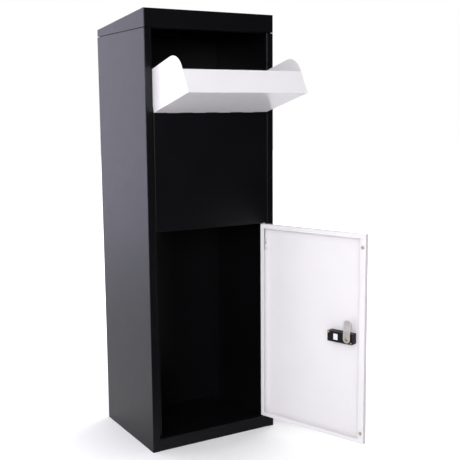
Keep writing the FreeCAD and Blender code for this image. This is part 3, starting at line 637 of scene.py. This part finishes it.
def knob():
    """Fluted knob with a tapered grip bar."""
    low, high = box_before("lock_knob", DOOR)
    centre, radius = (low + high) / 2, (high.x - low.x) / 2
    disc, edge, grip, length = 5 * MM, 1.4 * MM, 3.5 * MM, radius - MM
    foot, crown = (1, 1, disc - MM), (0.72, 0.9, high.y - low.y)
    outline = [(0, 0), (0.93 * radius, 0), (radius, 0.6 * MM), (radius, disc - edge)]
    outline += arc(radius - edge, disc - edge, edge, 15, 90, 5) + [(0, disc + 0.1 * MM)]
    place = facing(Vector((centre.x, high.y, centre.z)), FRONT)
    tool = bmesh.new()
    lathe(tool, outline, FLUTES * 6, place, rim_only(fluted, radius))
    bar = [(-grip, -length), (grip, -length), (grip, length), (-grip, length)]
    loft(tool, [[place @ Vector((across * x, along * y, level)) for x, y in bar]
                for across, along, level in (foot, crown)])
    round_edges(finish_mesh(tool, DOOR, "lock_knob"), 0.9 * MM, 3)


def lock():
    """Every part of the lock whose look goes beyond its CAD solid."""
    softened("lock_case", 0.5 * MM)
    softened("lock_bezel", 0.35 * MM)
    softened("lock_cam", 0.3 * MM)
    for number, shown in enumerate(SHOWN_DIGITS, start=1):
        number_wheel(f"lock_dial_{number}", shown)
    knob()
    case_screws()
    cam_screw()


# ---------------------------------------------------------------------------------- stage

FLOOR_HALF = 14
FLOOR_WHITE, FLOOR_PAINTED_SHADE, PAINTED_DARK_REFLECTION = (0.87, 0.87, 0.87), (0.002, 0.002, 0.002), (0.03, 0.03, 0.03, 1)
# The half sizes of the black patch of painted shade under the box, and where in it the black gives way
# to white.
UNDER_BOX, PATCH_EDGE = (0.187, 0.152, 1), (0.99, 1)
# To the camera the floor glows least at GLOW_NEAR metres from the middle and fully at GLOW_FAR.
GLOW_LEAST, GLOW_NEAR, GLOW_FAR = 0.08, 0.2, 0.95
# How far to the front right, in metres, the painted dark reflection begins and is fully there.
TO_FRONT_RIGHT = (0.5, -0.86, 0)
PAINTED_DARK_EDGE = (-0.2, 0.5)
# The fill of the surroundings, and how closely a ray must point to the front right to meet the dark.
FILL, DARK_FILL, FILL_COLOUR = 0.65, 0.02, (0.97, 0.96, 1, 1)
DARK_EDGE = (0.35, 0.9)
AIM = (0, 0, 0.6)
EYE = (-1.0574, -2.0496, 0.8938)
AZIMUTH, ELEVATION, ROLL = math.radians(30.32), math.radians(-8.18), math.radians(0.51)
LENS, SENSOR = 64.34, 36


def floor():
    """A wide pale floor that glows towards white away from the box and is painted black under it, as
    painted shade.

    In reflections its front right part is dark, a painted dark reflection, as if a black sheet lay
    there."""
    tool = bmesh.new()
    bmesh.ops.create_grid(tool, x_segments=1, y_segments=1, size=FLOOR_HALF)
    m = Nodes("pale_floor", Roughness=0.7, Specular_IOR_Level=0.1)
    share = m.vector("DIVIDE", m.vector("ABSOLUTE", m.place)["Vector"], UNDER_BOX)["Vector"]
    sides = m.add("ShaderNodeSeparateXYZ", {"Vector": share}).outputs
    bare = m.spread(m.reckon("MAXIMUM", sides["X"], sides["Y"]), 0, 1, *PATCH_EDGE)
    # Painted shade: the floor's colour is black under the box, where only shade falls, and white outside
    # it.
    m.drive("Base Color", m.shade(bare, FLOOR_PAINTED_SHADE, FLOOR_WHITE))
    far = m.spread(m.vector("LENGTH", m.place)["Value"], GLOW_LEAST, 1, GLOW_NEAR, GLOW_FAR)
    glow = m.add("ShaderNodeEmission", {"Strength": m.reckon("MULTIPLY", bare, far)})
    matt = m.shader.outputs["BSDF"]
    lit = m.add("ShaderNodeAddShader", {0: matt, 1: glow.outputs["Emission"]})
    path = m.add("ShaderNodeLightPath").outputs
    seen = mixed(m.tree, path["Is Camera Ray"], matt, lit.outputs["Shader"])
    # Painted dark reflection: to glossy rays only, the floor's front right part is near black.
    dark_reflection = m.add("ShaderNodeBsdfDiffuse", {"Color": PAINTED_DARK_REFLECTION})
    there = m.spread(m.vector("DOT_PRODUCT", m.place, TO_FRONT_RIGHT)["Value"], 0, 1, *PAINTED_DARK_EDGE)
    reflected = m.reckon("MULTIPLY", there, path["Is Glossy Ray"])
    surface = mixed(m.tree, reflected, seen, dark_reflection.outputs["BSDF"])
    m.tree.links.new(surface, m.tree.nodes["Material Output"].inputs["Surface"])
    piece = mesh_object("floor", tool)
    piece.data.materials.append(m.material)


def soft_box(name, place, target, width, height, power, colour):
    """A rectangular studio light that faces a target."""
    light = bpy.data.lights.new(name, "AREA")
    light.shape = "RECTANGLE"
    light.size = width
    light.size_y = height
    light.energy = power
    light.color = colour
    lamp = new_object(name, light)
    lamp.location = place
    lamp.rotation_mode = "QUATERNION"
    lamp.rotation_quaternion = (Vector(target) - Vector(place)).to_track_quat("-Z", "Y")
    lamp.visible_camera = False


def world():
    """White surroundings for the eye. For all else, a weaker fill that is dark to the front right."""
    scene_world = bpy.data.worlds.new("studio")
    bpy.context.scene.world = scene_world
    scene_world.use_nodes = True
    tree = scene_world.node_tree
    tree.nodes.clear()

    def add(kind, inputs=(), **settings):
        """The outputs of a new node."""
        return add_node(tree, kind, inputs, **settings).outputs

    toward = add("ShaderNodeTexCoord")["Generated"]
    aside = add("ShaderNodeVectorMath", {0: toward, 1: TO_FRONT_RIGHT}, operation="DOT_PRODUCT")
    strength = add("ShaderNodeMapRange", {"Value": aside["Value"], "From Min": DARK_EDGE[0],
                                          "From Max": DARK_EDGE[1], "To Min": FILL, "To Max": DARK_FILL})
    fill = add("ShaderNodeBackground", {"Color": FILL_COLOUR, "Strength": strength["Result"]})
    seen = add("ShaderNodeBackground", {"Color": (1, 1, 1, 1), "Strength": 1.0})
    path = add("ShaderNodeLightPath")
    surface = mixed(tree, path["Is Camera Ray"], fill["Background"], seen["Background"])
    add("ShaderNodeOutputWorld", {"Surface": surface})


def camera():
    """The camera at the height, distance and turn of the picture."""
    ahead = Vector((math.sin(AZIMUTH) * math.cos(ELEVATION), math.cos(AZIMUTH) * math.cos(ELEVATION),
                    math.sin(ELEVATION)))
    level = Vector((math.cos(AZIMUTH), -math.sin(AZIMUTH), 0))
    down = ahead.cross(level)
    right = math.cos(ROLL) * level + math.sin(ROLL) * down
    up = right.cross(ahead)
    data = bpy.data.cameras.new("camera")
    data.lens = LENS
    data.sensor_width = SENSOR
    data.clip_start = 0.05
    data.clip_end = 60
    eye = new_object("camera", data)
    eye.matrix_world = Matrix.Translation(EYE) @ Matrix((right, up, -ahead)).transposed().to_4x4()
    bpy.context.scene.camera = eye


def stage():
    """The floor, five large soft lights, the surroundings and the camera."""
    floor()
    soft_box("left_light", (-3.4, -1.0, 1.7), AIM, 1.2, 1.2, 9, (0.99, 0.97, 1.0))
    soft_box("front_light", (-2.2, -3.6, 1.7), AIM, 1.4, 1.4, 95, (1.0, 0.985, 1.0))
    soft_box("rear_light", (-1.9, 2.8, 1.3), (0, 0, 0.7), 2.4, 3.0, 46, (0.79, 0.77, 1.0))
    soft_box("right_light", (3.2, 1.6, 1.8), AIM, 2.2, 2.2, 60, (1, 1, 1))
    soft_box("top_light", (-1.5, -0.9, 3.2), (0, 0, 0.5), 2.2, 2.2, 16, (1, 1, 1))
    world()
    camera()


paint_nodes()
lock()
fixings()
stage()
bpy.context.scene.view_settings.view_transform = "Standard"
